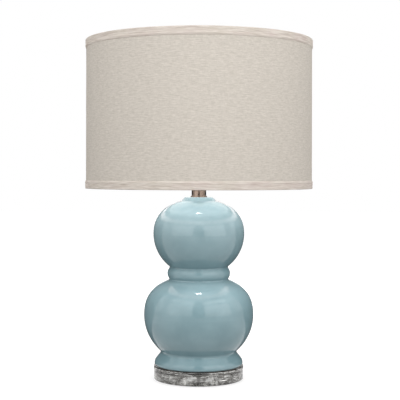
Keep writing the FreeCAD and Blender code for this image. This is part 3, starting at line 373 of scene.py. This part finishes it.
def metal(name, low, high, roughness, size=0.004, relief=0.00003, tarnish=None,
          brushed=(1, 1, 1)):
    """Metal that drifts between two tones, with fine marks and a darker film in places."""
    f = Finish(name, {"Metallic": 1.0})
    colour = f.blend(f.span(f.noise(size * 4, 3), 0.35, 0.65), low, high)
    if tarnish:
        film = f.span(f.noise(size * 2, 4, shift=3.0), 0.5, 0.72)
        colour = f.tint(colour, film, 0.7, tarnish)
    f.set("Base Color", colour)
    f.uneven_gloss(f.noise(size, 3), roughness * 0.75, roughness * 1.25)
    f.bump(f.noise(size / 4, 2, stretch=brushed), relief, 0.6)
    return f.material


def plastic(name, low, high, roughness, relief=0.00002, grain=0.0008, values=None):
    """Moulded plastic, rubber or card: two close tones, a fine grain and uneven gloss."""
    f = Finish(name, values or {})
    f.set("Base Color", f.blend(f.span(f.noise(0.006, 3), 0.3, 0.7), low, high))
    f.uneven_gloss(f.noise(0.004, 2), roughness * 0.85, roughness * 1.15)
    f.bump(f.noise(grain, 2), relief, 0.6)
    return f.material


# For each slot, its two tones, its roughness, and what else sets it apart.
METALS = {
    "aged_nickel": (srgb(112, 98, 88), srgb(150, 134, 122), 0.24,
                    {"tarnish": srgb(70, 58, 50), "brushed": (1, 1, 6)}),
    "zinc_steel": (srgb(168, 168, 164), srgb(188, 188, 186), 0.34, {}),
    "brass": (srgb(176, 146, 84), srgb(198, 168, 104), 0.26, {}),
    "harp_brass": (srgb(170, 152, 118), srgb(190, 172, 136), 0.3,
                   {"tarnish": srgb(120, 98, 66)}),
    "aluminium_shell": (srgb(186, 186, 188), srgb(204, 204, 206), 0.3, {}),
    "solder": (srgb(150, 152, 155), srgb(178, 180, 183), 0.42, {"relief": 0.0001}),
    "filament_wire": (srgb(108, 106, 104), srgb(128, 126, 122), 0.45, {"size": 0.002}),
}
PLASTICS = {
    "white_wire": (srgb(222, 220, 214), srgb(232, 230, 225), 0.35, {}),
    "clear_bumper": (srgb(205, 208, 204), srgb(215, 218, 214), 0.4,
                     {"values": {"Transmission Weight": 0.6, "IOR": 1.45}}),
    "dark_gasket": (srgb(46, 38, 33), srgb(60, 50, 43), 0.75, {"relief": 0.00008}),
    "black_plastic": (srgb(26, 26, 27), srgb(36, 36, 37), 0.45, {}),
    "grey_paper": (srgb(138, 136, 130), srgb(156, 153, 146), 0.85,
                   {"relief": 0.0001, "grain": 0.0006}),
    "brown_plastic": (srgb(42, 27, 20), srgb(60, 38, 27), 0.3, {}),
    "black_glass": (srgb(18, 16, 24), srgb(30, 27, 36), 0.12, {}),
}


def all_finishes():
    """The material of every slot."""
    made = {
        "glaze": glaze(),
        "acrylic": acrylic(),
        "linen": linen(),
        "linen_tape": linen_tape(),
        "white_liner": liner(),
        "frosted_glass": glass("frosted_glass_finish", srgb(246, 246, 242), 0.5, 0.35, 0.00005),
        "clear_glass": glass("clear_glass_finish", srgb(248, 250, 248), 0.02, 1.0),
    }
    for kind, table in ((metal, METALS), (plastic, PLASTICS)):
        for slot, (low, high, roughness, rest) in table.items():
            made[slot] = kind(f"{slot}_finish", low, high, roughness, **rest)
    return made


# ---------------------------------------------------------------- meshes

def placed(thing):
    """The object, put in the scene."""
    bpy.context.scene.collection.objects.link(thing)
    return thing


def mesh_object(name, points, faces, material):
    mesh = bpy.data.meshes.new(name)
    mesh.from_pydata(points, [], faces)
    mesh.materials.append(material)
    return placed(bpy.data.objects.new(name, mesh))


def grid_faces(rows, wide):
    """Faces over a grid of points that are listed row by row."""
    return [(i * wide + k, i * wide + k + 1, (i + 1) * wide + k + 1, (i + 1) * wide + k)
            for i in range(rows - 1) for k in range(wide - 1)]


# ---------------------------------------------------------------- cloth

def cloth_piece(name, rows, slot, replaced):
    """A smooth sheet through rows of points, which rides with the shade for a CAD node."""
    points = [point for row in rows for point in row]
    piece = mesh_object(name, points, grid_faces(len(rows), len(rows[0])), finishes[slot])
    piece.data.shade_smooth()
    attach(piece, "shade")
    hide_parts(replaced)
    return piece


def around(distance, radius, height, turn_radius):
    """The point at a distance round the axis, counted from the middle of the back."""
    angle = math.pi / 2 + distance / turn_radius
    return (radius * math.cos(angle), radius * math.sin(angle), height)


def wave(x, y, seed):
    """Smooth noise from about -1 to 1 with lumps about one unit across."""
    return noise.noise(Vector((x, y, seed)))


def relief(along, across, table, seed=0):
    """The height of a table's waves at a place on a sheet."""
    return sum(height * wave(along * a, across * b, seed + shift)
               for a, b, shift, height in table)


def lap(distance, total, width, rise):
    """How far the sheet's last stretch is lifted over its start, ending in a folded edge."""
    climbed = (distance - (total - LAP_REACH * width)) / (LAP_CLIMB * width)
    lifted = min(1.0, max(0.0, climbed))
    tucked = max(0.0, 1 - (total - distance) / FOLD)
    return rise * (lifted * lifted * (3 - 2 * lifted)) * (1 - FOLD_DROP * tucked * tucked)


def skin():
    """The drum's linen, wrapped once round and lapped at the back."""
    total = 2 * math.pi * FABRIC_RADIUS + FABRIC_LAP
    low, high = SHADE_LOW + FABRIC_INSET, SHADE_HIGH - FABRIC_INSET
    places = [(total - SKIN_EDGE) * k / SKIN_COLUMNS for k in range(SKIN_COLUMNS + 1)]
    places += [total - FOLD * k / SKIN_EDGE_COLUMNS for k in reversed(range(SKIN_EDGE_COLUMNS))]
    rows = []
    for level in range(SKIN_LEVELS + 1):
        height = low + (high - low) * level / SKIN_LEVELS
        row = []
        for place in places:
            out = relief(place, height, SKIN_RELIEF)
            out += lap(place, total, FABRIC_LAP, FABRIC_LAP_RISE)
            row.append(around(place, FABRIC_RADIUS + out, height, FABRIC_RADIUS))
        rows.append(row)
    piece = cloth_piece("linen_skin", rows, "linen", "shade_fabric")


def tape_outline():
    """The tape's whole outline, with every depth counted from the rim."""
    shape = [(radius, TRIM_HEIGHT + depth, loose) for radius, depth, loose in TAPE_ROLL]
    for k in range(TAPE_FACE_STEPS + 1):
        depth = TAPE_FACE_START + (TAPE_FACE_END - TAPE_FACE_START) * k / TAPE_FACE_STEPS
        radius = TAPE_FACE_RADIUS + TAPE_FACE_WAVE * math.sin(k * TAPE_FACE_TURN)
        shape.append((radius, depth, 1.0))
    shape += TAPE_OVER_RING
    for k in range(1, TAPE_INNER_STEPS + 1):
        depth = TAPE_INNER_START + (TAPE_INNER_END - TAPE_INNER_START) * k / TAPE_INNER_STEPS
        shape.append((TAPE_INNER_RADIUS, depth, TAPE_INNER_LOOSENESS))
    return shape


def tape(name, rim, inward, replaced, seed):
    """A folded tape over one rim: down the outside, round the ring, and up the inside."""
    total = 2 * math.pi * TRIM_RADIUS + TAPE_LAP
    outline = tape_outline()
    rows = []
    for k in range(TAPE_COLUMNS + 1):
        place = total * k / TAPE_COLUMNS
        lifted = lap(place, total, TAPE_LAP, TAPE_LAP_RISE)
        puckered = wave(place * PUCKER_PLACES, 0.0, seed + PUCKER_SHIFT) - PUCKER_START
        puckered = max(0.0, puckered)
        wander = TAPE_WANDER * wave(place * TAPE_WANDER_PLACES, 2.0, seed + TAPE_WANDER_SHIFT)
        row = []
        for radius, depth, loose in outline:
            out = relief(place, depth, TAPE_RELIEF, seed)
            out += puckered * relief(place, depth, PUCKERS, seed) + lifted
            row.append(around(place, radius + loose * out,
                              rim + inward * (depth + loose * wander), TRIM_RADIUS))
        rows.append(row)
    if inward > 0:
        rows.reverse()
    piece = cloth_piece(name, rows, "linen_tape", replaced)


# ---------------------------------------------------------------- stage, light and camera

def seen_shares(tree):
    """1 for rays from the camera, a gloss or a clear piece; 0 for light that falls on things."""
    path = tree.nodes.new("ShaderNodeLightPath")
    seen = path.outputs["Is Camera Ray"]
    for name in ("Is Glossy Ray", "Is Transmission Ray"):
        both = tree.nodes.new("ShaderNodeMath")
        both.operation = "MAXIMUM"
        tree.links.new(seen, both.inputs[0])
        tree.links.new(path.outputs[name], both.inputs[1])
        seen = both.outputs[0]
    return seen


def floor():
    """A plain pale floor that shows white and keeps the lamp's shadow near it."""
    ground = Finish("studio_floor", {"Base Color": FLOOR_COLOUR, "Roughness": 0.9,
                                     "Specular IOR Level": 0.0, "Emission Color": WHITE})
    glow = ground.span(ground.from_origin(), FLOOR_GLOW_FROM, FLOOR_GLOW_TO, FLOOR_GLOW, 1.0)
    seen = seen_shares(ground.material.node_tree)
    ground.set("Emission Strength", ground.math("MULTIPLY", glow, seen))
    far = FLOOR_HALF
    corners = [(-far, -far, 0), (far, -far, 0), (far, far, 0), (-far, far, 0)]
    mesh_object("studio_floor", corners, [(0, 1, 2, 3)], ground.material)


def surroundings():
    """White where it is seen, softer where it lights."""
    world = bpy.data.worlds.new("studio")
    bpy.context.scene.world = world
    world.use_nodes = True
    tree = world.node_tree
    soft = tree.nodes["Background"]
    soft.inputs["Color"].default_value = WHITE
    soft.inputs["Strength"].default_value = WORLD_LIGHT
    white = tree.nodes.new("ShaderNodeBackground")
    white.inputs["Color"].default_value = WHITE
    white.inputs["Strength"].default_value = 1.0
    both = tree.nodes.new("ShaderNodeMixShader")
    tree.links.new(seen_shares(tree), both.inputs[0])
    tree.links.new(soft.outputs[0], both.inputs[1])
    tree.links.new(white.outputs[0], both.inputs[2])
    tree.links.new(both.outputs[0], tree.nodes["World Output"].inputs["Surface"])


def glossy_only(name, points, faces):
    """A dark stage piece that shows in a gloss alone, and neither shades nor hides anything."""
    dark = Finish(name, {"Base Color": DARK, "Roughness": 0.9}).material
    piece = mesh_object(name, points, faces, dark)
    piece.visible_camera = piece.visible_diffuse = piece.visible_shadow = False
    piece.visible_transmission = False


def dark_cloth():
    """A dark cloth curved round behind the lamp and out over the floor, open in its middle.

    It only shows as the dark line that the gloss has along its rims.
    """
    points = []
    for i in range(CLOTH_RINGS + 1):
        off = math.radians(CLOTH_OPENING + (CLOTH_REACH - CLOTH_OPENING) * i / CLOTH_RINGS)
        for k in range(CLOTH_STEPS + 1):
            turn = 2 * math.pi * k / CLOTH_STEPS
            way = Vector((math.sin(off) * math.cos(turn), math.cos(off),
                          math.sin(off) * math.sin(turn)))
            far = STAGE_DISTANCE
            if way.z < 0:
                far = min(far, (AIM.z - OVER_FLOOR) / -way.z)
            points.append(AIM + way * far)
    glossy_only("dark_cloth", points, grid_faces(CLOTH_RINGS + 1, CLOTH_STEPS + 1))


def dark_card():
    """A dark upright card behind the camera, for the gloss's stripe between the panels."""
    half, back = STAGE_DISTANCE * math.tan(math.radians(CARD_HALF_ANGLE)), -STAGE_DISTANCE
    corners = [(-half, back, OVER_FLOOR), (half, back, OVER_FLOOR),
               (half, back, CARD_TOP), (-half, back, CARD_TOP)]
    glossy_only("dark_card", corners, [(0, 1, 2, 3)])


def light(name, place, turn, wide, high, radiance, shape="RECTANGLE", shows=True):
    """An even panel that the camera doesn't see, and that a gloss shows or not."""
    data = bpy.data.lights.new(name, "AREA")
    data.shape = shape
    data.size = wide
    data.size_y = high
    area = wide * high * (math.pi / 4 if shape == "DISK" else 1)
    data.energy = radiance * area * math.pi
    lamp = placed(bpy.data.objects.new(name, data))
    lamp.location = place
    lamp.rotation_euler = turn
    lamp.visible_camera = False
    lamp.visible_glossy = shows
    return lamp


def softbox(name, azimuth, rise, wide, high, radiance, near=1.0, shows=True):
    """A panel aimed at the lamp's middle; azimuth 0 is the front, and rise is its height angle."""
    side, up = math.radians(azimuth), math.radians(rise)
    away = Vector((math.sin(side) * math.cos(up), -math.cos(side) * math.cos(up), math.sin(up)))
    turn = (-away).to_track_quat("-Z", "Y").to_euler()
    light(name, AIM + away * STAGE_DISTANCE * near, turn, wide, high, radiance, shows=shows)


def panels():
    """The rows of front panels on both sides of the camera, and the other panels."""
    for row, (rise, left, right, near) in enumerate(PANEL_ROWS):
        wide = PANEL_WIDE * math.cos(math.radians(rise)) ** 0.5 * near
        high = PANEL_HIGH * near
        softbox(f"panel_left_{row}", -PANEL_AZIMUTH, rise, wide, high, left, near)
        softbox(f"panel_right_{row}", PANEL_AZIMUTH, rise, wide, high, right, near)
    for name, (azimuth, rise, wide, high, radiance, shows) in OTHER_PANELS.items():
        softbox(name, azimuth, rise, wide, high, radiance, shows=shows)


def ring_of_light(name, inner, outer, radiance, shows):
    """Panels in a ring in the mouth of the shade, facing down."""
    middle = (inner + outer) / 2
    wide = 2 * math.pi * middle / SHADE_GLOW_PANELS
    for k in range(SHADE_GLOW_PANELS):
        angle = 2 * math.pi * (k + 0.5) / SHADE_GLOW_PANELS
        place = (middle * math.cos(angle), middle * math.sin(angle), SHADE_GLOW_HEIGHT)
        made = light(f"{name}_{k}", place, (0, 0, angle + math.pi / 2), wide, outer - inner,
                     radiance, shows=shows)
        made.data.color = SHADE_GLOW_TINT


def shade_glow():
    """A bright ring, a ring that no gloss shows, and a weaker disc, in the mouth of the shade."""
    inner, middle, outer = SHADE_GLOW_RADII
    ring_of_light("shade_glow_bright", middle, outer, SHADE_GLOW, True)
    ring_of_light("shade_glow_soft", inner, outer, SHADE_GLOW_SOFT, False)
    light("shade_glow_middle", (0, 0, SHADE_GLOW_HEIGHT), (0, 0, 0), 2 * inner, 2 * inner,
          SHADE_GLOW_MIDDLE, "DISK")


def camera():
    """A level camera at the photo's viewing angle."""
    data = bpy.data.cameras.new("camera")
    data.sensor_width = CAMERA_SENSOR
    data.lens = CAMERA_LENS
    data.shift_y = CAMERA_SHIFT_UP
    eye = placed(bpy.data.objects.new("camera", data))
    eye.location = CAMERA_PLACE
    eye.rotation_euler = (math.pi / 2, CAMERA_ROLL, 0)
    bpy.context.scene.camera = eye


finishes = all_finishes()
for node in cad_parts.values():
    node.material_slots[0].material = finishes[node.material_slots[0].material.name]
skin()
tape("trim_tape_top", SHADE_HIGH, -1, "shade_trim_top", 11.0)
tape("trim_tape_bottom", SHADE_LOW, 1, "shade_trim_bottom", 41.0)

floor()
surroundings()
dark_cloth()
dark_card()
panels()
shade_glow()
camera()
bpy.context.scene.view_settings.view_transform = "Standard"
